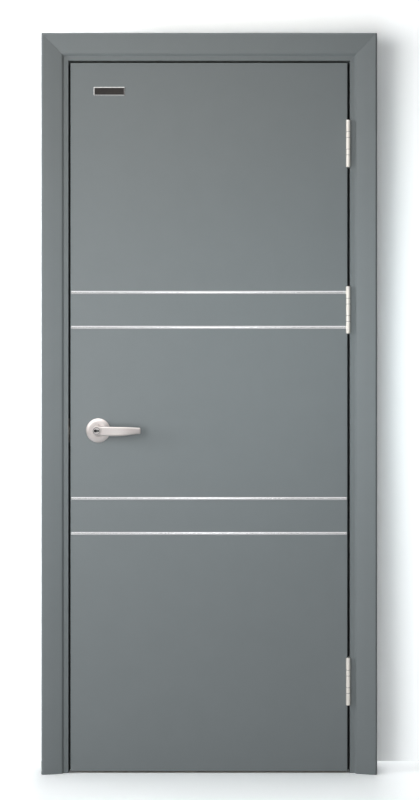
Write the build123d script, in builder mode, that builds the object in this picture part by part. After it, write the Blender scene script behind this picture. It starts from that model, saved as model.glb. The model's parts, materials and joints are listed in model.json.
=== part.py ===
from build123d import *
import os

# An ABS interior door set: a mitred frame with casings on both sides of the wall, a flush leaf
# with four inlaid metal strips, three five-knuckle hinges and a keyed lever set.
# Millimetres. The front is -Y, the hinges are on the +X side, Z runs up from the floor.
# The origin lies on the hinge jamb's outer face, at floor level, halfway through the wall.

os.makedirs("parts", exist_ok=True)

# Frame section
frame_depth = 110.0
jamb_thickness = 43.0
jamb_edge_chamfer = 1.0
stop_height = 14.0
stop_width = 30.0
mitre_gap = 0.3

# Leaf sizes
leaf_width = 800.0
leaf_height = 2046.0
leaf_thickness = 36.0
skin_thickness = 3.0
edge_band_thickness = 2.0
edge_band_round = 1.0

# Gaps round the closed leaf
latch_gap = 6.3
hinge_gap = 7.7
head_gap = 7.0
floor_gap = 6.0
stop_gap = 8.0

# Casing section
casing_width = 63.3
casing_reveal = 13.0
casing_outer_thickness = 20.0
casing_inner_thickness = 9.0
casing_crown = 0.9
casing_outer_chamfer = 5.0
casing_inner_bevel = 5.5
casing_inner_foot = 1.0
tongue_thickness = 5.0
tongue_depth = 18.0
tongue_inset = 12.0
tongue_clearance = 0.4
tongue_end_clearance = 2.0

# Soft seal in the stop
seal_width = 8.0
seal_proud = 3.0
seal_stem_width = 3.0
seal_stem_depth = 6.0
seal_inset = 2.0

# Inlaid strips
upper_pair_height = 1338.5
lower_pair_height = 743.0
pair_spacing = 101.0
strip_width = 8.4
strip_proud = 1.0
strip_edge_proud = 0.2
groove_depth = 1.5
groove_side_gap = 1.0

# Hinges
top_hinge_from_top = 234.0
middle_hinge_from_top = 714.0
bottom_hinge_from_bottom = 260.0
hinge_height = 134.0
barrel_diameter = 12.5
short_knuckle = 16.6
knuckle_gap = 0.9
pin_diameter = 6.0
pin_clearance = 0.08
pin_head_diameter = 10.6
pin_head_height = 1.2
barrel_clearance = 0.75
pin_shift = 2.2
hinge_plate_thickness = 2.5
hinge_plate_depth = 30.0
hinge_spine_depth = 9.0
hinge_window_margin = 4.0
hinge_plate_corner = 4.0
hinge_screw_rows = (10.0, 21.0)
jamb_plate_screw_insets = (9.0, 21.0)
leaf_plate_screw_insets = (21.0, 8.0)

# Countersunk screw holes in hinge plates, strike plate and latch faceplate
screw_head_diameter = 8.2
screw_seat_bottom = 3.6

# Lever set
handle_height = 990.0
handle_backset = 80.0
rose_diameter = 70.0
rose_rim_height = 3.0
rose_height = 9.0
rose_dome_radius = 20.0
neck_diameter = 24.0
neck_clearance = 0.6
neck_inset = 1.0
hub_clearance = 0.8
hub_end = 62.0
hub_base_diameter = 35.0
hub_front_diameter = 27.0
hub_edge_round = 1.6
key_cylinder_diameter = 21.0
key_cylinder_recess = 1.2
key_cylinder_depth = 14.0
keyhole_radius = 3.1
keyhole_offset = 3.2
keyhole_slot_height = 2.4
keyhole_slot_length = 9.6
keyhole_depth = 6.0
turn_button_length = 17.0
turn_button_width = 6.0
turn_button_proud = 9.0
spindle_width = 8.0
spindle_socket = 12.0
spindle_bore_diameter = 26.0

# Lever arm stations: distance from the turning line, top and bottom above it,
# thickness, middle of the thickness behind the hub's front
arm_stations = [
    (2.0, 13.0, -15.0, 15.0, 9.5),
    (38.0, 12.3, -15.0, 15.0, 10.0),
    (70.0, 11.7, -15.0, 14.0, 11.0),
    (102.0, 10.4, -11.4, 12.5, 14.5),
    (125.0, 9.0, -9.4, 11.0, 18.0),
]
arm_corner = 5.0
arm_tip_round = 3.6

# Latch in the leaf edge and strike in the jamb
faceplate_height = 57.0
faceplate_width = 24.0
bolt_height = 17.0
bolt_width = 12.0
bolt_depth = 28.0
bolt_bevel_depth = 9.0
bolt_tip_width = 2.5
bolt_clearance = 0.4
faceplate_corner = 5.0
faceplate_screw_inset = 7.5
strike_height = 70.0
strike_width = 26.0
strike_thickness = 2.0
strike_hole_height = 24.0
strike_hole_width = 16.0
strike_hole_corner = 2.0
strike_pocket_depth = 16.0
strike_corner = 4.0
strike_screw_inset = 8.0

# Sizes and positions that follow
frame_width = leaf_width + latch_gap + hinge_gap + 2 * jamb_thickness
frame_height = floor_gap + leaf_height + head_gap + jamb_thickness
front_y = -frame_depth / 2
back_y = frame_depth / 2
hinge_rebate_x = -jamb_thickness
latch_rebate_x = -frame_width + jamb_thickness
leaf_latch_x = latch_rebate_x + latch_gap
leaf_hinge_x = leaf_latch_x + leaf_width
leaf_mid_x = (leaf_latch_x + leaf_hinge_x) / 2
leaf_bottom_z = floor_gap
leaf_top_z = floor_gap + leaf_height
leaf_mid_z = (leaf_bottom_z + leaf_top_z) / 2
leaf_front_y = front_y
leaf_back_y = leaf_front_y + leaf_thickness
leaf_mid_y = (leaf_front_y + leaf_back_y) / 2
stop_front_y = leaf_back_y + stop_gap
stop_back_y = stop_front_y + stop_width
skin_width = leaf_width - 2 * edge_band_thickness
core_thickness = leaf_thickness - 2 * skin_thickness
handle_x = leaf_latch_x + handle_backset
# The pin line stands a little to the leaf's side of the gap
pin_x = (leaf_hinge_x + hinge_rebate_x) / 2 - pin_shift
barrel_radius = barrel_diameter / 2
pin_y = leaf_front_y - barrel_radius - barrel_clearance
hub_start = rose_height + hub_clearance
hinge_heights = {
    "top": leaf_top_z - top_hinge_from_top,
    "middle": leaf_top_z - middle_hinge_from_top,
    "bottom": leaf_bottom_z + bottom_hinge_from_bottom,
}
strip_heights = [
    upper_pair_height + pair_spacing / 2,
    upper_pair_height - pair_spacing / 2,
    lower_pair_height + pair_spacing / 2,
    lower_pair_height - pair_spacing / 2,
]

# The casing covers the jamb from its reveal outwards and laps onto the wall
casing_inner_a = jamb_thickness - casing_reveal
casing_outer_a = casing_inner_a - casing_width
casing_lap = -casing_outer_a
tongue_outer_a = casing_inner_a - tongue_inset - tongue_thickness

# The seal groove in the stop's front face
seal_mid_a = jamb_thickness + stop_height - seal_inset - seal_width / 2


def run_plane(side, overrun):
    # Section plane of one frame side: first axis from the wall inwards, second axis to the front
    if side == "hinge":
        return Plane(origin=(0, 0, 0), x_dir=(-1, 0, 0), z_dir=(0, 0, 1))
    if side == "latch":
        return Plane(origin=(-frame_width, 0, frame_height + overrun), x_dir=(1, 0, 0), z_dir=(0, 0, -1))
    return Plane(origin=(overrun, 0, frame_height), x_dir=(0, 0, -1), z_dir=(-1, 0, 0))


def run_length(side, overrun):
    if side == "head":
        return frame_width + 2 * overrun
    return frame_height + overrun


def mitre_planes(side):
    # The piece is kept on the side each plane faces
    half = mitre_gap / 2
    at_hinge = Plane(origin=(0, 0, frame_height), z_dir=(1, 0, -1))
    at_latch = Plane(origin=(-frame_width, 0, frame_height), z_dir=(-1, 0, -1))
    if side == "hinge":
        return [at_hinge.offset(half)]
    if side == "latch":
        return [at_latch.offset(half)]
    head_at_hinge = Plane(origin=(0, 0, frame_height), z_dir=(-1, 0, 1))
    head_at_latch = Plane(origin=(-frame_width, 0, frame_height), z_dir=(1, 0, 1))
    return [head_at_hinge.offset(half), head_at_latch.offset(half)]


def save(part, label):
    part.label = label
    export_step(part, f"parts/{label}.step")


def countersink(depth):
    # A screw seat right through a plate of that depth, widest at its bare face
    Cone(
        bottom_radius=screw_seat_bottom / 2,
        top_radius=screw_head_diameter / 2,
        height=depth,
        align=(Align.CENTER, Align.CENTER, Align.MAX),
        mode=Mode.SUBTRACT,
    )


# The strike's plane lies on the latch jamb's rebate face, level with the lever
strike_plane = Plane(origin=(latch_rebate_x, leaf_mid_y, handle_height), x_dir=(0, 1, 0), z_dir=(1, 0, 0))

# Frame: one section on three sides, with a groove for each casing tongue and one for the seal
groove_outer_a = tongue_outer_a - tongue_clearance
groove_inner_a = tongue_outer_a + tongue_thickness + tongue_clearance
groove_floor_f = -front_y - tongue_depth - tongue_end_clearance
jamb_outline = [
    (0, back_y),
    (groove_outer_a, back_y),
    (groove_outer_a, groove_floor_f),
    (groove_inner_a, groove_floor_f),
    (groove_inner_a, back_y),
    (jamb_thickness - jamb_edge_chamfer, back_y),
    (jamb_thickness, back_y - jamb_edge_chamfer),
    (jamb_thickness, -stop_front_y),
    (seal_mid_a - seal_stem_width / 2, -stop_front_y),
    (seal_mid_a - seal_stem_width / 2, -stop_front_y - seal_stem_depth),
    (seal_mid_a + seal_stem_width / 2, -stop_front_y - seal_stem_depth),
    (seal_mid_a + seal_stem_width / 2, -stop_front_y),
    (jamb_thickness + stop_height - jamb_edge_chamfer, -stop_front_y),
    (jamb_thickness + stop_height, -stop_front_y - jamb_edge_chamfer),
    (jamb_thickness + stop_height, -stop_back_y + jamb_edge_chamfer),
    (jamb_thickness + stop_height - jamb_edge_chamfer, -stop_back_y),
    (jamb_thickness, -stop_back_y),
    (jamb_thickness, front_y + jamb_edge_chamfer),
    (jamb_thickness - jamb_edge_chamfer, front_y),
    (groove_inner_a, front_y),
    (groove_inner_a, -groove_floor_f),
    (groove_outer_a, -groove_floor_f),
    (groove_outer_a, front_y),
    (0, front_y),
]

for side in ["hinge", "latch", "head"]:
    with BuildPart() as jamb:
        with BuildSketch(run_plane(side, 0)):
            with BuildLine():
                Polyline(*jamb_outline, close=True)
            make_face()
        extrude(amount=run_length(side, 0))
        for mitre in mitre_planes(side):
            split(bisect_by=mitre, keep=Keep.TOP)
        if side == "latch":
            # Seat of the strike plate and the pocket behind it
            with BuildSketch(strike_plane):
                RectangleRounded(strike_width, strike_height, strike_corner)
            extrude(amount=-strike_thickness, mode=Mode.SUBTRACT)
            with BuildSketch(strike_plane):
                RectangleRounded(strike_hole_width, strike_hole_height, strike_hole_corner)
            extrude(amount=-strike_pocket_depth, mode=Mode.SUBTRACT)
    save(jamb.part, f"{side}_jamb")

# Casings: a crowned face that falls from the wall side to the doorway side, mitred at the corners
for face, facing in [("front", 1), ("back", -1)]:
    wall_f = facing * frame_depth / 2
    for side in ["hinge", "latch", "head"]:
        with BuildPart() as casing:
            with BuildSketch(run_plane(side, casing_lap)):
                with BuildLine():
                    inner_top = (
                        casing_inner_a - casing_inner_bevel,
                        wall_f + facing * casing_inner_thickness,
                    )
                    outer_top = (
                        casing_outer_a + casing_outer_chamfer,
                        wall_f + facing * casing_outer_thickness,
                    )
                    inner_foot_f = wall_f + facing * casing_inner_foot
                    outer_side_f = wall_f + facing * (casing_outer_thickness - casing_outer_chamfer)
                    tongue_end_f = wall_f - facing * tongue_depth
                    crown_mid = (
                        (inner_top[0] + outer_top[0]) / 2,
                        (inner_top[1] + outer_top[1]) / 2 + facing * casing_crown,
                    )
                    ThreePointArc(inner_top, crown_mid, outer_top)
                    Polyline(
                        outer_top,
                        (casing_outer_a, outer_side_f),
                        (casing_outer_a, wall_f),
                        (tongue_outer_a, wall_f),
                        (tongue_outer_a, tongue_end_f),
                        (tongue_outer_a + tongue_thickness, tongue_end_f),
                        (tongue_outer_a + tongue_thickness, wall_f),
                        (casing_inner_a, wall_f),
                        (casing_inner_a, inner_foot_f),
                        inner_top,
                    )
                make_face()
            extrude(amount=run_length(side, casing_lap))
            for mitre in mitre_planes(side):
                split(bisect_by=mitre, keep=Keep.TOP)
        save(casing.part, f"{face}_casing_{side}")

# Seals: a low bulb on the stop with a stem pressed into the groove
for side in ["hinge", "latch", "head"]:
    with BuildPart() as seal:
        with BuildSketch(run_plane(side, 0)):
            with BuildLine():
                ThreePointArc(
                    (seal_mid_a - seal_width / 2, -stop_front_y),
                    (seal_mid_a, -stop_front_y + seal_proud),
                    (seal_mid_a + seal_width / 2, -stop_front_y),
                )
                Polyline(
                    (seal_mid_a + seal_width / 2, -stop_front_y),
                    (seal_mid_a + seal_stem_width / 2, -stop_front_y),
                    (seal_mid_a + seal_stem_width / 2, -stop_front_y - seal_stem_depth),
                    (seal_mid_a - seal_stem_width / 2, -stop_front_y - seal_stem_depth),
                    (seal_mid_a - seal_stem_width / 2, -stop_front_y),
                    (seal_mid_a - seal_width / 2, -stop_front_y),
                )
            make_face()
        extrude(amount=run_length(side, 0))
        for mitre in mitre_planes(side):
            split(bisect_by=mitre, keep=Keep.TOP)
    save(seal.part, f"seal_{side}")

# Strike plate, let into the latch jamb
strike_screw_z = strike_height / 2 - strike_screw_inset
with BuildPart() as strike_plate:
    with BuildSketch(strike_plane):
        RectangleRounded(strike_width, strike_height, strike_corner)
        RectangleRounded(strike_hole_width, strike_hole_height, strike_hole_corner, mode=Mode.SUBTRACT)
    extrude(amount=-strike_thickness)
    with Locations(strike_plane):
        with Locations((0, -strike_screw_z), (0, strike_screw_z)):
            countersink(strike_thickness)
save(strike_plate.part, "strike_plate")

bolt_hole_width = bolt_width + 2 * bolt_clearance
bolt_hole_height = bolt_height + 2 * bolt_clearance

# Leaf core between the skins, bored for the spindle and pocketed for the latch bolt
with BuildPart() as leaf_core:
    with Locations((leaf_mid_x, leaf_mid_y, leaf_mid_z)):
        Box(skin_width, core_thickness, leaf_height)
    with Locations(Location((handle_x, leaf_mid_y, handle_height), (90, 0, 0))):
        Cylinder(spindle_bore_diameter / 2, leaf_thickness, mode=Mode.SUBTRACT)
    with Locations((leaf_latch_x + bolt_depth / 2, leaf_mid_y, handle_height)):
        Box(bolt_depth, bolt_hole_width, bolt_hole_height, mode=Mode.SUBTRACT)
save(leaf_core.part, "leaf_core")

# Skins, grooved for the strips
for face, face_y, inward in [("front", leaf_front_y, 1), ("back", leaf_back_y, -1)]:
    with BuildPart() as skin:
        with Locations((leaf_mid_x, face_y + inward * skin_thickness / 2, leaf_mid_z)):
            Box(skin_width, skin_thickness, leaf_height)
        for strip_z in strip_heights:
            with Locations((leaf_mid_x, face_y, strip_z)):
                Box(skin_width, 2 * groove_depth, strip_width + 2 * groove_side_gap, mode=Mode.SUBTRACT)
        with Locations(Location((handle_x, face_y, handle_height), (90, 0, 0))):
            Cylinder(spindle_bore_diameter / 2, 4 * skin_thickness, mode=Mode.SUBTRACT)
    save(skin.part, f"{face}_skin")

    # Strips with a rounded face, bedded in the grooves
    for number, strip_z in enumerate(strip_heights, start=1):
        strip_end = (leaf_latch_x + edge_band_thickness, face_y, strip_z)
        with BuildPart() as strip:
            with BuildSketch(Plane(origin=strip_end, x_dir=(0, 1, 0), z_dir=(1, 0, 0))):
                with BuildLine():
                    edge_out = -inward * strip_edge_proud
                    ThreePointArc(
                        (edge_out, -strip_width / 2),
                        (-inward * strip_proud, 0),
                        (edge_out, strip_width / 2),
                    )
                    Polyline(
                        (edge_out, strip_width / 2),
                        (inward * groove_depth, strip_width / 2),
                        (inward * groove_depth, -strip_width / 2),
                        (edge_out, -strip_width / 2),
                    )
                make_face()
            extrude(amount=skin_width)
        save(strip.part, f"{face}_strip_{number}")

# The faceplate's plane lies on the leaf's latch edge, level with the lever, and faces the jamb
faceplate_plane = Plane(origin=(leaf_latch_x, leaf_mid_y, handle_height), x_dir=(0, -1, 0), z_dir=(-1, 0, 0))

# Edge bands close the leaf's long edges, rounded at their outer corners
for side, edge_x, inward in [("hinge", leaf_hinge_x, -1), ("latch", leaf_latch_x, 1)]:
    with BuildPart() as band:
        with BuildSketch(Plane.XY.offset(leaf_bottom_z)) as band_section:
            with Locations((edge_x + inward * edge_band_thickness / 2, leaf_mid_y)):
                Rectangle(edge_band_thickness, leaf_thickness)
            outer_corners = band_section.vertices().group_by(Axis.X)[0 if inward > 0 else -1]
            fillet(outer_corners, edge_band_round)
        extrude(amount=leaf_height)
        if side == "latch":
            with BuildSketch(faceplate_plane):
                RectangleRounded(faceplate_width, faceplate_height, faceplate_corner)
            extrude(amount=-edge_band_thickness, mode=Mode.SUBTRACT)
    save(band.part, f"{side}_edge_band")

# Latch faceplate in the latch edge, with the bevelled bolt drawn back flush inside it
faceplate_screw_z = faceplate_height / 2 - faceplate_screw_inset
with BuildPart() as latch_faceplate:
    with BuildSketch(faceplate_plane):
        RectangleRounded(faceplate_width, faceplate_height, faceplate_corner)
        Rectangle(bolt_hole_width, bolt_hole_height, mode=Mode.SUBTRACT)
    extrude(amount=-edge_band_thickness)
    with Locations(faceplate_plane):
        with Locations((0, -faceplate_screw_z), (0, faceplate_screw_z)):
            countersink(edge_band_thickness)
save(latch_faceplate.part, "latch_faceplate")

bolt_base = Plane(origin=(leaf_latch_x, leaf_mid_y, handle_height - bolt_height / 2), z_dir=(0, 0, 1))
with BuildPart() as latch_bolt:
    with BuildSketch(bolt_base):
        with BuildLine():
            Polyline(
                (0, -bolt_width / 2),
                (0, -bolt_width / 2 + bolt_tip_width),
                (bolt_bevel_depth, bolt_width / 2),
                (bolt_depth, bolt_width / 2),
                (bolt_depth, -bolt_width / 2),
                close=True,
            )
        make_face()
    extrude(amount=bolt_height)
save(latch_bolt.part, "latch_bolt")

# Hinges: three long knuckles on the jamb plate, two short ones on the leaf plate, one pin
long_knuckle = (hinge_height - 2 * short_knuckle) / 3
lower_split = -hinge_height / 2 + long_knuckle
upper_split = hinge_height / 2 - long_knuckle
jamb_knuckles = [
    (-hinge_height / 2, lower_split - knuckle_gap / 2),
    (lower_split + short_knuckle + knuckle_gap / 2, upper_split - short_knuckle - knuckle_gap / 2),
    (upper_split + knuckle_gap / 2, hinge_height / 2),
]
leaf_knuckles = [
    (lower_split + knuckle_gap / 2, lower_split + short_knuckle - knuckle_gap / 2),
    (upper_split - short_knuckle + knuckle_gap / 2, upper_split - knuckle_gap / 2),
]
bore_radius = pin_diameter / 2 + pin_clearance
leaf_plate_height = upper_split - lower_split - knuckle_gap
window_height = leaf_plate_height + 2 * hinge_window_margin


def knuckled_plate(hinge_z, face_x, outward, height, knuckles, window, screw_insets):
    # A plate on the face at face_x, standing out by its thickness, rolled into knuckles at the front
    plate_mid_x = face_x + outward * hinge_plate_thickness / 2
    plate_mid_y = leaf_front_y + hinge_plate_depth / 2
    with BuildPart() as plate:
        plate_plane = Plane(origin=(face_x, plate_mid_y, hinge_z), x_dir=(0, 1, 0), z_dir=(1, 0, 0))
        with BuildSketch(plate_plane) as flat:
            Rectangle(hinge_plate_depth, height)
            back_corners = flat.vertices().group_by(Axis.Y)[-1]
            fillet(back_corners, hinge_plate_corner)
            if window:
                with Locations((hinge_spine_depth, 0)):
                    Rectangle(hinge_plate_depth, window, mode=Mode.SUBTRACT)
        extrude(amount=outward * hinge_plate_thickness)
        for low, high in knuckles:
            middle = hinge_z + (low + high) / 2
            with Locations((plate_mid_x, (leaf_front_y + pin_y) / 2, middle)):
                Box(hinge_plate_thickness, leaf_front_y - pin_y, high - low)
            with Locations((pin_x, pin_y, middle)):
                Cylinder(barrel_radius, high - low)
            with Locations((pin_x, pin_y, middle)):
                Cylinder(bore_radius, high - low, mode=Mode.SUBTRACT)
        bare_face = Plane(
            origin=(face_x + outward * hinge_plate_thickness, leaf_front_y, hinge_z),
            x_dir=(0, outward, 0),
            z_dir=(outward, 0, 0),
        )
        with Locations(bare_face):
            for row, inset in zip(hinge_screw_rows, screw_insets):
                with Locations((outward * row, height / 2 - inset), (outward * row, inset - height / 2)):
                    countersink(hinge_plate_thickness)
    return plate.part


for name, hinge_z in hinge_heights.items():
    jamb_plate = knuckled_plate(
        hinge_z, hinge_rebate_x, -1, hinge_height, jamb_knuckles, window_height, jamb_plate_screw_insets
    )
    save(jamb_plate, f"{name}_hinge_jamb_plate")
    leaf_plate = knuckled_plate(
        hinge_z, leaf_hinge_x, 1, leaf_plate_height, leaf_knuckles, None, leaf_plate_screw_insets
    )
    save(leaf_plate, f"{name}_hinge_leaf_plate")
    with BuildPart() as pin:
        with Locations((pin_x, pin_y, hinge_z)):
            Cylinder(pin_diameter / 2, hinge_height)
        for end in [-1, 1]:
            with Locations((pin_x, pin_y, hinge_z + end * (hinge_height + pin_head_height) / 2)):
                Cylinder(pin_head_diameter / 2, pin_head_height)
        chamfer(pin.edges().group_by(Axis.Z)[-1] + pin.edges().group_by(Axis.Z)[0], pin_head_height / 2)
    save(pin.part, f"{name}_hinge_pin")

# Lever set: the same rose and lever on both faces, keyed in front, a turn button behind
handle_faces = {"front": (leaf_front_y, -1), "back": (leaf_back_y, 1)}


def handle_plane(face):
    # First axis across the leaf, second axis straight out of its face
    face_y, outward = handle_faces[face]
    return Plane(origin=(handle_x, face_y, handle_height), x_dir=(1, 0, 0), z_dir=(0, 0, outward))


def handle_axis(face):
    face_y, outward = handle_faces[face]
    return Axis((handle_x, face_y, handle_height), (0, outward, 0))


for face in ["front", "back"]:
    face_y, outward = handle_faces[face]
    bore = neck_diameter / 2 + neck_clearance
    with BuildPart() as rose:
        with BuildSketch(handle_plane(face)):
            with BuildLine():
                Polyline(
                    (rose_dome_radius, rose_height),
                    (bore, rose_height),
                    (bore, 0),
                    (rose_diameter / 2, 0),
                    (rose_diameter / 2, rose_rim_height),
                )
                ThreePointArc(
                    (rose_diameter / 2, rose_rim_height),
                    (
                        rose_dome_radius + 0.62 * (rose_diameter / 2 - rose_dome_radius),
                        rose_rim_height + 0.68 * (rose_height - rose_rim_height),
                    ),
                    (rose_dome_radius, rose_height),
                )
            make_face()
        revolve(axis=handle_axis(face), revolution_arc=360)
    save(rose.part, f"{face}_rose")

    # Lever: neck in the rose, tapering hub, arm lofted through its stations
    with BuildPart() as lever:
        with BuildSketch(handle_plane(face)):
            with BuildLine():
                Polyline(
                    (0, neck_inset),
                    (neck_diameter / 2, neck_inset),
                    (neck_diameter / 2, hub_start),
                    (hub_base_diameter / 2, hub_start),
                    (hub_front_diameter / 2, hub_end - hub_edge_round),
                    (hub_front_diameter / 2 - hub_edge_round, hub_end),
                    (0, hub_end),
                    close=True,
                )
            make_face()
        revolve(axis=handle_axis(face), revolution_arc=360)
        for reach, top, bottom, thickness, setback in arm_stations:
            station_y = face_y + outward * (hub_end - setback)
            station = Plane(
                origin=(handle_x + reach, station_y, handle_height + (top + bottom) / 2),
                x_dir=(0, 1, 0),
                z_dir=(1, 0, 0),
            )
            with BuildSketch(station):
                RectangleRounded(thickness, top - bottom, arm_corner)
        loft()
        fillet(lever.edges().group_by(Axis.X)[-1], arm_tip_round)
        # Seat of the key cylinder or turn button, and the spindle socket
        seat_mid_y = face_y + outward * (hub_end - key_cylinder_depth / 2)
        with Locations(Location((handle_x, seat_mid_y, handle_height), (90, 0, 0))):
            Cylinder(key_cylinder_diameter / 2, key_cylinder_depth, mode=Mode.SUBTRACT)
        socket_mid_y = face_y + outward * (neck_inset + spindle_socket / 2)
        with Locations((handle_x, socket_mid_y, handle_height)):
            Box(spindle_width, spindle_socket, spindle_width, mode=Mode.SUBTRACT)
    save(lever.part, f"{face}_lever")

# Key cylinder, seated in the front hub, with a keyhole
face_y, outward = handle_faces["front"]
cylinder_back = face_y + outward * (hub_end - key_cylinder_depth)
cylinder_length = key_cylinder_depth - key_cylinder_recess
cylinder_mid = cylinder_back + outward * cylinder_length / 2
with BuildPart() as key_cylinder:
    with Locations(Location((handle_x, cylinder_mid, handle_height), (90, 0, 0))):
        Cylinder(key_cylinder_diameter / 2, cylinder_length)
    keyhole_y = cylinder_back + outward * cylinder_length
    with BuildSketch(Plane(origin=(handle_x, keyhole_y, handle_height), x_dir=(1, 0, 0), z_dir=(0, -1, 0))):
        with Locations((-keyhole_offset, 0)):
            Circle(keyhole_radius)
        with Locations((keyhole_slot_length / 2 - keyhole_offset, 0)):
            Rectangle(keyhole_slot_length, keyhole_slot_height)
    extrude(amount=-keyhole_depth, mode=Mode.SUBTRACT)
save(key_cylinder.part, "key_cylinder")

# Turn button, seated in the back hub
face_y, outward = handle_faces["back"]
button_back = face_y + outward * (hub_end - key_cylinder_depth)
button_mid = button_back + outward * cylinder_length / 2
with BuildPart() as turn_button:
    with Locations(Location((handle_x, button_mid, handle_height), (90, 0, 0))):
        Cylinder(key_cylinder_diameter / 2, cylinder_length)
    button_y = button_back + outward * cylinder_length
    with BuildSketch(Plane(origin=(handle_x, button_y, handle_height), x_dir=(1, 0, 0), z_dir=(0, 1, 0))):
        SlotOverall(turn_button_length, turn_button_width)
    extrude(amount=turn_button_proud)
save(turn_button.part, "turn_button")

# Spindle, a square bar that joins both levers through the leaf
spindle_length = leaf_thickness + 2 * (neck_inset + spindle_socket)
with BuildPart() as spindle:
    with Locations((handle_x, leaf_mid_y, handle_height)):
        Box(spindle_width, spindle_length, spindle_width)
save(spindle.part, "spindle")
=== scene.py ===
import json
import math

import bmesh
import bpy
from mathutils import Matrix, Vector


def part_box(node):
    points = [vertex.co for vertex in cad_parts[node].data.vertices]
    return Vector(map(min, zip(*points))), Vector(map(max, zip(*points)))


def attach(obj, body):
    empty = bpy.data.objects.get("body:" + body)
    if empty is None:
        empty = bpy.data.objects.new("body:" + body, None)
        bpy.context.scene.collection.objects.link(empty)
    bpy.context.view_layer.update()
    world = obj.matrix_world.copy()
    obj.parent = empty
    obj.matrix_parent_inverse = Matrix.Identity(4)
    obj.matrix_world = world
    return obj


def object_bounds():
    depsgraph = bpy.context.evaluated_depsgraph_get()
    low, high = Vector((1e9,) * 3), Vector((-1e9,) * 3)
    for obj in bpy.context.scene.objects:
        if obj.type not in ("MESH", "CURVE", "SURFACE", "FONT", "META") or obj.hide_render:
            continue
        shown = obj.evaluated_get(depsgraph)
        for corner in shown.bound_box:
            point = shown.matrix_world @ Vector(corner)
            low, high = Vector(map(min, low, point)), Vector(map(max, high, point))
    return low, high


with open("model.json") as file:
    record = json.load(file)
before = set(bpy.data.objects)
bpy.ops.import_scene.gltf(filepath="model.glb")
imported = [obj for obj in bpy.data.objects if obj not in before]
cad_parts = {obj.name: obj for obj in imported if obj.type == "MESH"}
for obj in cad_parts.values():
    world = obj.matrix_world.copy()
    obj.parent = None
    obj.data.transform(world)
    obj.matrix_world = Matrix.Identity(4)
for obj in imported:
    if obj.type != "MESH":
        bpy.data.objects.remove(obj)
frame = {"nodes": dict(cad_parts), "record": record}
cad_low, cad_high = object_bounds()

bpy.context.scene.view_settings.view_transform = "Standard"

MM = 0.001

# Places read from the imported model
latch_band_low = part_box("latch_edge_band")[0]
leaf_front_y = latch_band_low.y
leaf_latch_x = latch_band_low.x
leaf_hinge_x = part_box("hinge_edge_band")[1].x
hinge_jamb_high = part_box("hinge_jamb")[1]
latch_jamb_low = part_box("latch_jamb")[0]
door_middle_x = (hinge_jamb_high.x + latch_jamb_low.x) / 2

# Walls of the rebate that the leaf closes into
jamb_thickness = 43 * MM
hinge_wall_x = hinge_jamb_high.x - jamb_thickness
latch_wall_x = latch_jamb_low.x + jamb_thickness
head_wall_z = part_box("head_jamb")[1].z - jamb_thickness

hinge_places = ("top", "middle", "bottom")

# Values between which a noise mostly lies
noise_low = 0.3
noise_high = 0.7


# Node helpers
def new_material(name):
    material = bpy.data.materials.new(name)
    material.use_nodes = True
    nodes = material.node_tree.nodes
    shader = nodes["Principled BSDF"]
    return material, nodes, material.node_tree.links, shader


def place_texture(nodes, links, scale):
    # Object coordinates in metres, stretched by scale along each axis
    coords = nodes.new("ShaderNodeTexCoord")
    mapping = nodes.new("ShaderNodeMapping")
    mapping.inputs["Scale"].default_value = scale
    links.new(coords.outputs["Object"], mapping.inputs["Vector"])
    return mapping.outputs["Vector"]


def noise(nodes, links, vector, scale, detail, roughness):
    texture = nodes.new("ShaderNodeTexNoise")
    texture.inputs["Scale"].default_value = scale
    texture.inputs["Detail"].default_value = detail
    texture.inputs["Roughness"].default_value = roughness
    links.new(vector, texture.inputs["Vector"])
    return texture.outputs["Fac"]


def ramp(nodes, links, factor, stops):
    colour_ramp = nodes.new("ShaderNodeValToRGB")
    elements = colour_ramp.color_ramp.elements
    for element, (position, colour) in zip(elements, stops):
        element.position = position
        element.color = (*colour, 1.0)
    for position, colour in stops[2:]:
        element = elements.new(position)
        element.color = (*colour, 1.0)
    links.new(factor, colour_ramp.inputs["Fac"])
    return colour_ramp.outputs["Color"]


def two_tone(nodes, links, factor, dark, light, low=noise_low, high=noise_high):
    # A colour that runs from dark to light as the factor goes from low to high
    return ramp(nodes, links, factor, [(low, dark), (high, light)])


def value_range(nodes, links, factor, low, high):
    # A value that runs from low to high over the noise's span
    mapped = nodes.new("ShaderNodeMapRange")
    mapped.inputs["From Min"].default_value = noise_low
    mapped.inputs["From Max"].default_value = noise_high
    mapped.inputs["To Min"].default_value = low
    mapped.inputs["To Max"].default_value = high
    links.new(factor, mapped.inputs["Value"])
    return mapped.outputs["Result"]


def bump(nodes, links, height, shader, strength, distance):
    node = nodes.new("ShaderNodeBump")
    node.inputs["Strength"].default_value = strength
    node.inputs["Distance"].default_value = distance
    links.new(height, node.inputs["Height"])
    links.new(node.outputs["Normal"], shader.inputs["Normal"])


def node_math(nodes, links, operation, first, second):
    node = nodes.new("ShaderNodeMath")
    node.operation = operation
    for socket, value in zip(node.inputs, (first, second)):
        if isinstance(value, float):
            socket.default_value = value
        else:
            links.new(value, socket)
    return node.outputs["Value"]


# Materials
def abs_sheet():
    # Satin grey ABS with a fine moulded grain and a faint mottle
    material, nodes, links, shader = new_material("abs_sheet")
    vector = place_texture(nodes, links, (1, 1, 1))
    mottle = noise(nodes, links, vector, scale=14.0, detail=4.0, roughness=0.6)
    colour = two_tone(nodes, links, mottle, dark=(0.186, 0.203, 0.208), light=(0.192, 0.209, 0.214))
    links.new(colour, shader.inputs["Base Color"])
    links.new(value_range(nodes, links, mottle, low=0.42, high=0.45), shader.inputs["Roughness"])
    grain = noise(nodes, links, vector, scale=900.0, detail=2.0, roughness=0.6)
    bump(nodes, links, grain, shader, strength=0.16, distance=0.4 * MM)
    return material


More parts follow.
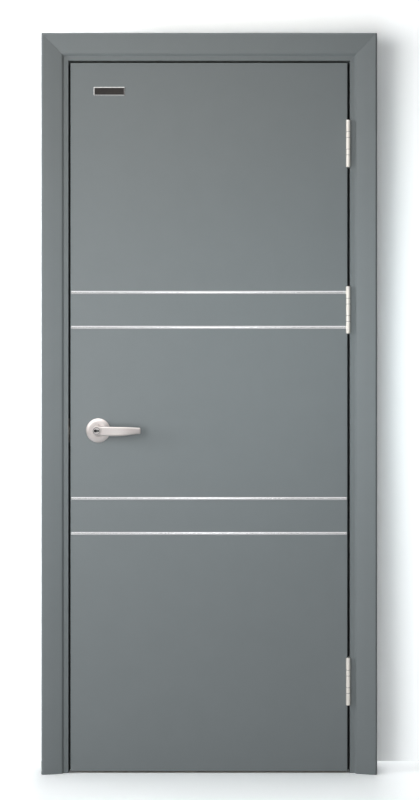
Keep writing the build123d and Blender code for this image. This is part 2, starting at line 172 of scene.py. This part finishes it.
def timber_core():
    # Pale sawn timber, grain along the leaf's width
    material, nodes, links, shader = new_material("timber_core")
    vector = place_texture(nodes, links, (3, 90, 90))
    grain = noise(nodes, links, vector, scale=2.0, detail=5.0, roughness=0.65)
    colour = two_tone(
        nodes, links, grain, dark=(0.33, 0.22, 0.12), light=(0.58, 0.44, 0.28), low=0.32, high=0.68)
    links.new(colour, shader.inputs["Base Color"])
    links.new(value_range(nodes, links, grain, low=0.62, high=0.8), shader.inputs["Roughness"])
    bump(nodes, links, grain, shader, strength=0.3, distance=0.6 * MM)
    return material


def brushed_metal(name, dark, light, roughness, stretch, strength, metallic=1.0):
    # Satin metal with a fine grain, drawn out into lines where its stretch is uneven
    material, nodes, links, shader = new_material(name)
    vector = place_texture(nodes, links, stretch)
    lines = noise(nodes, links, vector, scale=1.0, detail=3.0, roughness=0.6)
    links.new(two_tone(nodes, links, lines, dark, light), shader.inputs["Base Color"])
    shader.inputs["Metallic"].default_value = metallic
    links.new(value_range(nodes, links, lines, *roughness), shader.inputs["Roughness"])
    bump(nodes, links, lines, shader, strength, distance=0.2 * MM)
    return material


def soft_rubber_and_painted_shade():
    # Black rubber with a little dust; its black also paints the shade in the keyhole, the key cylinder's
    # seat, the hinge knuckles' gaps and the gap round the leaf
    material, nodes, links, shader = new_material("soft_rubber_and_painted_shade")
    vector = place_texture(nodes, links, (1, 1, 1))
    dust = noise(nodes, links, vector, scale=120.0, detail=4.0, roughness=0.6)
    colour = two_tone(
        nodes, links, dust, dark=(0.012, 0.012, 0.013), light=(0.035, 0.035, 0.036), low=0.35, high=0.75)
    links.new(colour, shader.inputs["Base Color"])
    links.new(value_range(nodes, links, dust, low=0.6, high=0.78), shader.inputs["Roughness"])
    shader.inputs["Specular IOR Level"].default_value = 0.2
    bump(nodes, links, dust, shader, strength=0.2, distance=0.3 * MM)
    return material


def dark_enamel():
    # Brown-black enamel of the bare plate
    material, nodes, links, shader = new_material("dark_enamel")
    vector = place_texture(nodes, links, (60, 60, 500))
    lines = noise(nodes, links, vector, scale=1.0, detail=3.0, roughness=0.5)
    colour = two_tone(nodes, links, lines, dark=(0.013, 0.010, 0.009), light=(0.024, 0.019, 0.016))
    links.new(colour, shader.inputs["Base Color"])
    links.new(value_range(nodes, links, lines, low=0.3, high=0.42), shader.inputs["Roughness"])
    bump(nodes, links, lines, shader, strength=0.08, distance=0.2 * MM)
    return material


abs_grey = abs_sheet()
timber = timber_core()
nickel = brushed_metal(
    "satin_nickel", dark=(0.74, 0.68, 0.66), light=(0.82, 0.76, 0.74),
    roughness=(0.30, 0.38), stretch=(900, 900, 900), strength=0.05)
hinge_steel = brushed_metal(
    "hinge_steel", dark=(0.90, 0.84, 0.77), light=(0.97, 0.92, 0.85),
    roughness=(0.32, 0.42), stretch=(1500, 1500, 120), strength=0.08, metallic=0.5)
cylinder_steel = brushed_metal(
    "cylinder_steel", dark=(0.58, 0.54, 0.53), light=(0.68, 0.64, 0.63),
    roughness=(0.30, 0.40), stretch=(900, 900, 900), strength=0.05)
strip_metal = brushed_metal(
    "strip_metal", dark=(0.78, 0.78, 0.79), light=(0.85, 0.85, 0.86),
    roughness=(0.19, 0.22), stretch=(2, 400, 400), strength=0.005)
plate_steel = brushed_metal(
    "plate_steel", dark=(0.46, 0.46, 0.45), light=(0.56, 0.56, 0.55),
    roughness=(0.22, 0.30), stretch=(900, 900, 900), strength=0.04)
screw_steel = brushed_metal(
    "screw_steel", dark=(0.55, 0.54, 0.52), light=(0.72, 0.71, 0.69),
    roughness=(0.25, 0.38), stretch=(700, 700, 700), strength=0.06)
rubber_and_painted_shade = soft_rubber_and_painted_shade()
enamel = dark_enamel()

finish_of_slot = {
    "abs_grey": abs_grey,
    "core_timber": timber,
    "hinge_steel": hinge_steel,
    "satin_nickel": nickel,
    "strip_metal": strip_metal,
    "seal_rubber": rubber_and_painted_shade,
}


def set_finish(node, material):
    slots = frame["nodes"][node].data.materials
    slots.clear()
    slots.append(material)


for entry in frame["record"]["subparts"]:
    set_finish(entry["node"], finish_of_slot[entry["material_slot"]])
set_finish("key_cylinder", cylinder_steel)


# Mesh helpers
def mesh_piece(name, build, material, body):
    mesh = bpy.data.meshes.new(name)
    work = bmesh.new()
    build(work)
    bmesh.ops.recalc_face_normals(work, faces=work.faces)
    work.to_mesh(mesh)
    work.free()
    mesh.materials.append(material)
    piece = bpy.data.objects.new(name, mesh)
    bpy.context.scene.collection.objects.link(piece)
    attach(piece, body)


def circle(radius, height, segments):
    points = []
    for step in range(segments):
        angle = 2 * math.pi * step / segments
        points.append(Vector((radius * math.cos(angle), radius * math.sin(angle), height)))
    return points


def rounded_rectangle(width, height, radius, corner_steps):
    points = []
    corners = [(1, 1, 0), (-1, 1, 90), (-1, -1, 180), (1, -1, 270)]
    for side_x, side_z, start in corners:
        middle_x = side_x * (width / 2 - radius)
        middle_z = side_z * (height / 2 - radius)
        for step in range(corner_steps + 1):
            angle = math.radians(start + 90 * step / corner_steps)
            points.append((middle_x + radius * math.cos(angle), middle_z + radius * math.sin(angle)))
    return points


def join_loops(work, lower, upper):
    # Quads between two loops of as many points
    count = len(lower)
    for index in range(count):
        after = (index + 1) % count
        work.faces.new((lower[index], lower[after], upper[after], upper[index]))


def stacked_loops(work, loops, capped):
    # Loops of points joined by quads, one after the other
    rings = [[work.verts.new(point) for point in loop] for loop in loops]
    for lower, upper in zip(rings, rings[1:]):
        join_loops(work, lower, upper)
    if capped:
        work.faces.new(rings[0])
        work.faces.new(rings[-1])


def add_ring(work, centre, axis, profile, segments):
    # Turns a closed profile of (radius, height) pairs about an axis through the centre
    spin = axis.to_track_quat("Z", "Y")
    rings = []
    for radius, height in profile:
        rings.append([work.verts.new(centre + spin @ point) for point in circle(radius, height, segments)])
    for lower, upper in zip(rings, rings[1:] + rings[:1]):
        join_loops(work, lower, upper)


# Bare plate: a dark field inside a bright rim, on the front skin
plate_width = 91 * MM
plate_height = 25.8 * MM
plate_rim_width = 3.4 * MM
plate_rim_crest = 2.7 * MM
plate_rim_crest_width = 0.5 * MM
plate_proud = 2.4 * MM
plate_foot = 0.6 * MM
plate_field_proud = 1.4 * MM
plate_corner_radius = 2.6 * MM
plate_least_radius = 0.5 * MM
plate_corner_steps = 6
plate_from_latch_edge = 112 * MM
plate_centre_height = 1970 * MM
plate_centre = Vector((leaf_latch_x + plate_from_latch_edge, leaf_front_y, plate_centre_height))


def plate_loop(inset, proud):
    width = plate_width - 2 * inset
    height = plate_height - 2 * inset
    radius = max(plate_corner_radius - inset, plate_least_radius)
    outline = rounded_rectangle(width, height, radius, plate_corner_steps)
    return [plate_centre + Vector((x, -proud, z)) for x, z in outline]


def build_plate_rim(work):
    loops = [
        plate_loop(plate_rim_width, 0),
        plate_loop(plate_rim_width, plate_field_proud),
        plate_loop(plate_rim_crest + plate_rim_crest_width, plate_proud),
        plate_loop(plate_rim_crest, plate_proud),
        plate_loop(0, plate_foot),
        plate_loop(0, 0),
        plate_loop(plate_rim_width, 0),
    ]
    stacked_loops(work, loops, capped=False)


def build_plate_field(work):
    loops = [plate_loop(plate_rim_width, 0), plate_loop(plate_rim_width, plate_field_proud)]
    stacked_loops(work, loops, capped=True)


mesh_piece("bare_plate_rim", build_plate_rim, plate_steel, "leaf")
mesh_piece("bare_plate_field", build_plate_field, enamel, "leaf")

# Painted shade in the keyhole: a black sheet lining the hole, a round end with a slot to its right, sunk
# in the key cylinder's face, with a lip that darkens the face round the hole
keyhole_radius = 3.1 * MM
keyhole_offset = 3.2 * MM
keyhole_slot_half = 1.2 * MM
keyhole_slot_end = 6.4 * MM
keyhole_steps = 24
shade_gap = 0.05 * MM
shade_edge = 0.3 * MM
shade_lip = 1.2 * MM
shade_proud = 0.15 * MM
shade_bottom = 5.8 * MM
cylinder_low, cylinder_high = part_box("key_cylinder")
cylinder_middle = (cylinder_low + cylinder_high) / 2
cylinder_face = Vector((cylinder_middle.x, cylinder_low.y, cylinder_middle.z))


def keyhole_loop(inset, sunk):
    radius = keyhole_radius - inset
    half = keyhole_slot_half - inset
    slot_end = keyhole_slot_end - inset
    start = math.asin(half / radius)
    sweep = 2 * math.pi - 2 * start
    outline = [(slot_end, -half), (slot_end, half)]
    for step in range(keyhole_steps + 1):
        angle = start + sweep * step / keyhole_steps
        outline.append((radius * math.cos(angle) - keyhole_offset, radius * math.sin(angle)))
    return [cylinder_face + Vector((x, sunk, z)) for x, z in outline]


def build_keyhole_painted_shade(work):
    loops = [
        keyhole_loop(shade_gap, shade_bottom),
        keyhole_loop(shade_gap, -shade_gap),
        keyhole_loop(-shade_lip, -shade_gap),
        keyhole_loop(shade_edge - shade_lip, -shade_proud),
    ]
    stacked_loops(work, loops, capped=True)


mesh_piece("keyhole_painted_shade", build_keyhole_painted_shade, rubber_and_painted_shade, "lever")

# Painted shade: a black ring in the corner between the key cylinder and the wall of its seat, where the
# recess is in shade
seat_shade_width = 1.1 * MM
seat_shade_height = 0.8 * MM
seat_shade_edge = 0.2 * MM
seat_shade_segments = 48


def build_seat_painted_shade(work):
    outer = (cylinder_high.x - cylinder_low.x) / 2 - shade_gap
    inner = outer - seat_shade_width
    top = shade_gap + seat_shade_height
    profile = [
        (inner, shade_gap),
        (outer, shade_gap),
        (outer, top),
        (inner + seat_shade_edge, top),
        (inner, top - seat_shade_edge),
    ]
    add_ring(work, cylinder_face, Vector((0, -1, 0)), profile, seat_shade_segments)


mesh_piece("key_seat_painted_shade", build_seat_painted_shade, rubber_and_painted_shade, "lever")

# Countersunk screw heads with a cross recess, one set to each plate
screw_head_radius = 4.0 * MM
screw_head_sunk = 0.1 * MM
screw_head_edge = 0.25 * MM
screw_neck_radius = 1.75 * MM
screw_neck_depth = 1.95 * MM
recess_reach = 2.3 * MM
recess_half_width = 0.5 * MM
recess_depth = 1.3 * MM
recess_bottom_scale = 0.45
screw_segments = 24
screw_turns = (12, 57, 33, 78)


def add_screw(work, centre, normal, turn):
    spin = Matrix.Rotation(math.radians(turn), 4, "Z")
    stand = Vector(normal).to_track_quat("Z", "Y").to_matrix().to_4x4()
    place = Matrix.Translation(centre) @ stand @ spin

    def ring(radius, depth):
        return [work.verts.new(place @ point) for point in circle(radius, -depth, screw_segments)]

    def cross(scale, depth):
        reach = recess_reach * scale
        half = recess_half_width * scale
        outline = []
        for quarter in range(4):
            quarter_turn = Matrix.Rotation(quarter * math.pi / 2, 4, "Z")
            for x, y in ((reach, -half), (reach, half), (half, half)):
                outline.append(work.verts.new(place @ quarter_turn @ Vector((x, y, -depth))))
        return outline

    def loop_edges(loop):
        return [work.edges.get(pair) for pair in zip(loop, loop[1:] + loop[:1])]

    neck = ring(screw_neck_radius, screw_neck_depth)
    shoulder = ring(screw_head_radius, screw_head_sunk + screw_head_edge)
    rim = ring(screw_head_radius - screw_head_edge, screw_head_sunk)
    recess_top = cross(1.0, screw_head_sunk)
    recess_bottom = cross(recess_bottom_scale, screw_head_sunk + recess_depth)
    work.faces.new(neck)
    join_loops(work, neck, shoulder)
    join_loops(work, shoulder, rim)
    join_loops(work, recess_top, recess_bottom)
    work.faces.new(recess_bottom)
    bmesh.ops.triangle_fill(work, use_beauty=True, edges=loop_edges(rim) + loop_edges(recess_top))


def screw_set(name, centres, normal, body):
    def build(work):
        for number, centre in enumerate(centres):
            add_screw(work, centre, normal, screw_turns[number % len(screw_turns)])
    mesh_piece(name, build, screw_steel, body)


# Four screws in each hinge plate
hinge_plate_thickness = 2.5 * MM
hinge_screw_rows = (10 * MM, 21 * MM)
jamb_plate_screw_insets = (9 * MM, 21 * MM)
leaf_plate_screw_insets = (21 * MM, 8 * MM)
jamb_plate_face_x = hinge_wall_x - hinge_plate_thickness
leaf_plate_face_x = leaf_hinge_x + hinge_plate_thickness


def hinge_screws(node, face_x, insets):
    low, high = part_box(node)
    centres = []
    for row, inset in zip(hinge_screw_rows, insets):
        centres.append(Vector((face_x, leaf_front_y + row, low.z + inset)))
        centres.append(Vector((face_x, leaf_front_y + row, high.z - inset)))
    return centres


for place in hinge_places:
    jamb_node = place + "_hinge_jamb_plate"
    leaf_node = place + "_hinge_leaf_plate"
    jamb_centres = hinge_screws(jamb_node, jamb_plate_face_x, jamb_plate_screw_insets)
    leaf_centres = hinge_screws(leaf_node, leaf_plate_face_x, leaf_plate_screw_insets)
    screw_set(jamb_node + "_screws", jamb_centres, (-1, 0, 0), "frame")
    screw_set(leaf_node + "_screws", leaf_centres, (1, 0, 0), "leaf")

# Dark flange of the seal, which lies in the corner of the rebate; it also paints the shade in the gap
# round the leaf, where it shows
flange_thickness = 1.2 * MM
flange_lip_thickness = 0.8 * MM
flange_lip_reach = 11 * MM
flange_slope = 0.5 * MM
flange_fit = 0.05 * MM
seal_proud = 3 * MM
hinge_seal_low, hinge_seal_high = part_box("seal_hinge")
stop_front_y = hinge_seal_low.y + seal_proud
flange_reach = hinge_wall_x - hinge_seal_high.x - flange_fit

# Pairs: distance from the wall of the rebate, distance in front of the stop
flange_profile = [
    (flange_fit, flange_fit),
    (flange_reach, flange_fit),
    (flange_reach, flange_thickness - flange_slope),
    (flange_reach - flange_slope, flange_thickness),
    (flange_lip_thickness, flange_thickness),
    (flange_lip_thickness, flange_lip_reach - flange_slope),
    (flange_fit, flange_lip_reach),
]


def seal_flange_and_shade(side, start, end, place_point):
    def build(work):
        loops = []
        for along in (start, end):
            loops.append([place_point(away, forward, along) for away, forward in flange_profile])
        stacked_loops(work, loops, capped=True)
    mesh_piece("seal_flange_and_shade_" + side, build, rubber_and_painted_shade, "frame")


def hinge_flange_point(away, forward, along):
    return (hinge_wall_x - away, stop_front_y - forward, along)


def latch_flange_point(away, forward, along):
    return (latch_wall_x + away, stop_front_y - forward, along)


def head_flange_point(away, forward, along):
    return (along, stop_front_y - forward, head_wall_z - away)


side_flange_top = head_wall_z - flange_reach
seal_flange_and_shade("hinge", flange_fit, side_flange_top, hinge_flange_point)
seal_flange_and_shade("latch", flange_fit, side_flange_top, latch_flange_point)
seal_flange_and_shade("head", latch_wall_x + flange_fit, hinge_wall_x - flange_fit, head_flange_point)

# Dark washers between a hinge's knuckles, which also paint the shade in the gaps between the knuckles; of
# the knuckles three are long and the two between them short
washer_thickness = 0.8 * MM
washer_inner_radius = 3.2 * MM
washer_edge = 0.2 * MM
washer_segments = 32
short_knuckle = 16.6 * MM


def add_washer_shade(work, centre, outer_radius):
    half = washer_thickness / 2
    profile = [
        (washer_inner_radius, -half),
        (outer_radius - washer_edge, -half),
        (outer_radius, 0),
        (outer_radius - washer_edge, half),
        (washer_inner_radius, half),
    ]
    add_ring(work, centre, Vector((0, 0, 1)), profile, washer_segments)


def washer_shade_set(place):
    pin_low, pin_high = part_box(place + "_hinge_pin")
    barrel_low, barrel_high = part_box(place + "_hinge_jamb_plate")
    pin_middle = (pin_low + pin_high) / 2
    barrel_radius = pin_middle.y - barrel_low.y
    long_knuckle = (barrel_high.z - barrel_low.z - 2 * short_knuckle) / 3
    splits = (long_knuckle, long_knuckle + short_knuckle)

    def build(work):
        for split in splits:
            for height in (barrel_low.z + split, barrel_high.z - split):
                centre = Vector((pin_middle.x, pin_middle.y, height))
                add_washer_shade(work, centre, barrel_radius - washer_edge)
    mesh_piece(place + "_hinge_washers_and_shade", build, rubber_and_painted_shade, "frame")


for place in hinge_places:
    washer_shade_set(place)

# Two screws each in the strike plate and the latch faceplate
strike_screw_inset = 8 * MM
faceplate_screw_inset = 7.5 * MM
strike_face_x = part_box("strike_plate")[1].x
faceplate_face_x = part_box("latch_faceplate")[0].x


def end_screws(node, face_x, inset):
    # One screw near each end of an upright plate
    low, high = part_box(node)
    middle_y = (low.y + high.y) / 2
    return [Vector((face_x, middle_y, low.z + inset)), Vector((face_x, middle_y, high.z - inset))]


strike_centres = end_screws("strike_plate", strike_face_x, strike_screw_inset)
faceplate_centres = end_screws("latch_faceplate", faceplate_face_x, faceplate_screw_inset)
screw_set("strike_plate_screws", strike_centres, (1, 0, 0), "frame")
screw_set("latch_faceplate_screws", faceplate_centres, (-1, 0, 0), "leaf")

# Floor and backdrop, each a grid with the door in its middle column and cells counted row by row
stage_reach = 6.0
backdrop_gap = 5 * MM
backdrop_opening_inset = 40 * MM
doorway_cell = 4
backdrop_opening_cell = 1


def grid_faces(columns, rows):
    # Quads of a grid whose points are listed row by row
    faces = []
    for row in range(rows):
        for column in range(columns):
            first = row * (columns + 1) + column
            above = first + columns + 1
            faces.append((first, first + 1, above + 1, above))
    return faces


def stage_object(name, points, faces):
    mesh = bpy.data.meshes.new(name)
    mesh.from_pydata(points, [], faces)
    thing = bpy.data.objects.new(name, mesh)
    bpy.context.scene.collection.objects.link(thing)
    return thing


floor_xs = (-stage_reach, cad_low.x, cad_high.x, stage_reach)
floor_ys = (-stage_reach, leaf_front_y, cad_high.y, stage_reach)
floor_points = [(x, y, 0) for y in floor_ys for x in floor_xs]
floor = stage_object("floor", floor_points, grid_faces(3, 3))

# The backdrop is open behind the door, so that the door's back mirrors the studio
opening_left = cad_low.x + backdrop_opening_inset
opening_right = cad_high.x - backdrop_opening_inset
opening_top = cad_high.z - backdrop_opening_inset
backdrop_xs = (-stage_reach, opening_left, opening_right, stage_reach)
backdrop_y = cad_high.y + backdrop_gap
backdrop_zs = (0, opening_top, stage_reach)
backdrop_points = [(x, backdrop_y, z) for z in backdrop_zs for x in backdrop_xs]
backdrop_faces = grid_faces(3, 2)
backdrop_faces.pop(backdrop_opening_cell)
backdrop = stage_object("backdrop", backdrop_points, backdrop_faces)

# How white the stage looks to the camera, then to mirrors and glass, then to other light
floor_white = 1.25
# The floor under the door is darker to the camera than the rest: painted shade beneath the leaf
doorway_shade_white = 0.8
backdrop_white = 2.0
mirrored_white = 0.65
stage_grey = 0.33

# Distances from the door between which the floor turns into a plain white, and its strength to the camera
fade_start = 1.2
fade_end = 3.6
far_camera_strength = 1.0


def grey_diffuse(nodes, level):
    shader = nodes.new("ShaderNodeBsdfDiffuse")
    shader.inputs["Color"].default_value = (level, level, level, 1.0)
    return shader


def mixed(nodes, links, factor, first, second):
    mix = nodes.new("ShaderNodeMixShader")
    links.new(factor, mix.inputs["Fac"])
    links.new(first.outputs[0], mix.inputs[1])
    links.new(second.outputs[0], mix.inputs[2])
    return mix


def far_white(nodes, links, near, strength):
    # Passes from the near shader to a plain white of that strength with the distance from the door
    coords = nodes.new("ShaderNodeTexCoord")
    distance = nodes.new("ShaderNodeVectorMath")
    distance.operation = "DISTANCE"
    distance.inputs[1].default_value = (door_middle_x, 0.0, 0.0)
    links.new(coords.outputs["Object"], distance.inputs[0])
    fade = nodes.new("ShaderNodeMapRange")
    fade.interpolation_type = "SMOOTHSTEP"
    fade.inputs["From Min"].default_value = fade_start
    fade.inputs["From Max"].default_value = fade_end
    links.new(distance.outputs["Value"], fade.inputs["Value"])
    plain = nodes.new("ShaderNodeEmission")
    plain.inputs["Strength"].default_value = strength
    return mixed(nodes, links, fade.outputs["Result"], near, plain)


def stage_white(name, seen_white, one_sided):
    # White that takes shadows: brightest to the camera, pale to mirrors and glass, grey to other light
    material = bpy.data.materials.new(name)
    material.use_nodes = True
    nodes = material.node_tree.nodes
    links = material.node_tree.links
    nodes.clear()
    output = nodes.new("ShaderNodeOutputMaterial")
    path = nodes.new("ShaderNodeLightPath")
    camera_ray = path.outputs["Is Camera Ray"]
    glossy_ray = path.outputs["Is Glossy Ray"]
    transmission_ray = path.outputs["Is Transmission Ray"]
    seen = node_math(nodes, links, "MAXIMUM", glossy_ray, transmission_ray)
    seen = node_math(nodes, links, "MAXIMUM", seen, camera_ray)
    to_camera = grey_diffuse(nodes, seen_white)
    to_mirrors = grey_diffuse(nodes, mirrored_white)
    if one_sided:
        # Seen from the front only; light passes through it
        geometry = nodes.new("ShaderNodeNewGeometry")
        front = node_math(nodes, links, "SUBTRACT", 1.0, geometry.outputs["Backfacing"])
        seen = node_math(nodes, links, "MULTIPLY", seen, front)
        unseen = nodes.new("ShaderNodeBsdfTransparent")
    else:
        unseen = grey_diffuse(nodes, stage_grey)
        to_camera = far_white(nodes, links, to_camera, far_camera_strength)
        to_mirrors = far_white(nodes, links, to_mirrors, mirrored_white)
    white = mixed(nodes, links, camera_ray, to_mirrors, to_camera)
    surface = mixed(nodes, links, seen, unseen, white)
    links.new(surface.outputs["Shader"], output.inputs["Surface"])
    return material


floor.data.materials.append(stage_white("floor_white", floor_white, False))
# Darker floor cell in the doorway: painted shade beneath the leaf
floor.data.materials.append(stage_white("doorway_floor_painted_shade", doorway_shade_white, False))
floor.data.polygons[doorway_cell].material_index = 1
backdrop.data.materials.append(stage_white("backdrop_white", backdrop_white, True))

# World: soft white studio, brighter from the upper left in reflections, plain white to the camera
room_light = 0.13
reflected_from = (-0.45, 0.0, 0.89)
reflected_start = -0.35
reflected_end = 0.85
reflected_levels = ((0.0, 0.20), (0.29, 0.54), (0.50, 0.78), (0.71, 1.15), (1.0, 2.2))
world = bpy.data.worlds.new("studio")
bpy.context.scene.world = world
world.use_nodes = True
world_nodes = world.node_tree.nodes
world_links = world.node_tree.links
background = world_nodes["Background"]
background.inputs["Color"].default_value = (1.0, 1.0, 1.0, 1.0)
ray = world_nodes.new("ShaderNodeLightPath")
ray_direction = world_nodes.new("ShaderNodeTexCoord")
towards_source = world_nodes.new("ShaderNodeVectorMath")
towards_source.operation = "DOT_PRODUCT"
towards_source.inputs[1].default_value = reflected_from
world_links.new(ray_direction.outputs["Generated"], towards_source.inputs[0])
source_share = world_nodes.new("ShaderNodeMapRange")
source_share.inputs["From Min"].default_value = reflected_start
source_share.inputs["From Max"].default_value = reflected_end
world_links.new(towards_source.outputs["Value"], source_share.inputs["Value"])
grey_levels = [(position, (level, level, level)) for position, level in reflected_levels]
reflected = ramp(world_nodes, world_links, source_share.outputs["Result"], grey_levels)
reflected = node_math(world_nodes, world_links, "MULTIPLY", ray.outputs["Is Glossy Ray"], reflected)
lit = node_math(world_nodes, world_links, "MAXIMUM", reflected, room_light)
lit = node_math(world_nodes, world_links, "MAXIMUM", lit, ray.outputs["Is Camera Ray"])
lit = node_math(world_nodes, world_links, "MAXIMUM", lit, ray.outputs["Is Transmission Ray"])
world_links.new(lit, background.inputs["Strength"])

# Lamps, placed and aimed from the middle of the doorway at floor level
lamp_tint = (0.95, 0.985, 1.0)
cool_tint = (0.80, 0.95, 1.0)
warm_tint = (1.0, 0.78, 0.55)


def softbox(name, place, target, size, power, tint=lamp_tint, mirrored=False):
    light = bpy.data.lights.new(name, "AREA")
    light.shape = "RECTANGLE"
    light.size, light.size_y = size
    light.energy = power
    light.color = tint
    doorway = Vector((door_middle_x, 0, 0))
    aim = Vector(target) - Vector(place)
    lamp = bpy.data.objects.new(name, light)
    lamp.location = doorway + Vector(place)
    lamp.rotation_euler = aim.to_track_quat("-Z", "Y").to_euler()
    lamp.visible_camera = False
    lamp.visible_glossy = mirrored
    bpy.context.scene.collection.objects.link(lamp)


softbox("key_light", (-1.7, -3.4, 1.12), (0, 0, 1.1), size=(1.5, 2.0), power=53)
softbox("side_light", (-3.0, -1.3, 1.5), (0, 0, 1.1), size=(0.8, 1.2), power=46)
softbox("left_light", (-0.42, -0.75, 1.27), (-0.42, 0, 1.27), size=(0.25, 0.8), power=1.35)
softbox("right_light", (0.28, -0.75, 1.24), (0.28, 0, 1.24), size=(0.25, 0.6), power=1.4, tint=cool_tint)
softbox("low_light", (0, -2.5, 0.35), (0, 0, 0.35), size=(1.0, 0.4), power=6.0)
softbox("warm_light", (-0.15, -0.7, 1.95), (-0.15, 0, 1.95), size=(0.9, 0.25), power=0.55, tint=warm_tint)
softbox("front_light", (0, -4.7, 1.3), (0, 0, 1.05), size=(0.45, 1.2), power=6.0, mirrored=True)
softbox("top_light", (0, 0.2, 6.0), (0, 0.2, 0), size=(3.0, 0.8), power=135)
softbox("back_light", (0, 3.0, 2.2), (0, 0, 1.0), size=(2.0, 2.0), power=90)

# Camera straight on, at the photograph's height and scale
image_height = 800
mm_per_pixel = 2.8898
floor_line_pixel = 773.1
camera_distance = 4.0
camera_side_shift = 2.3 * MM
sensor_height = 36.0
view_height = image_height * mm_per_pixel * MM
camera_height = (floor_line_pixel - image_height / 2) * mm_per_pixel * MM
camera_data = bpy.data.cameras.new("camera")
camera_data.sensor_fit = "VERTICAL"
camera_data.sensor_height = sensor_height
camera_data.lens = sensor_height * camera_distance / view_height
camera = bpy.data.objects.new("camera", camera_data)
camera.location = (door_middle_x + camera_side_shift, leaf_front_y - camera_distance, camera_height)
camera.rotation_euler = (math.radians(90), 0, 0)
bpy.context.scene.collection.objects.link(camera)
bpy.context.scene.camera = camera
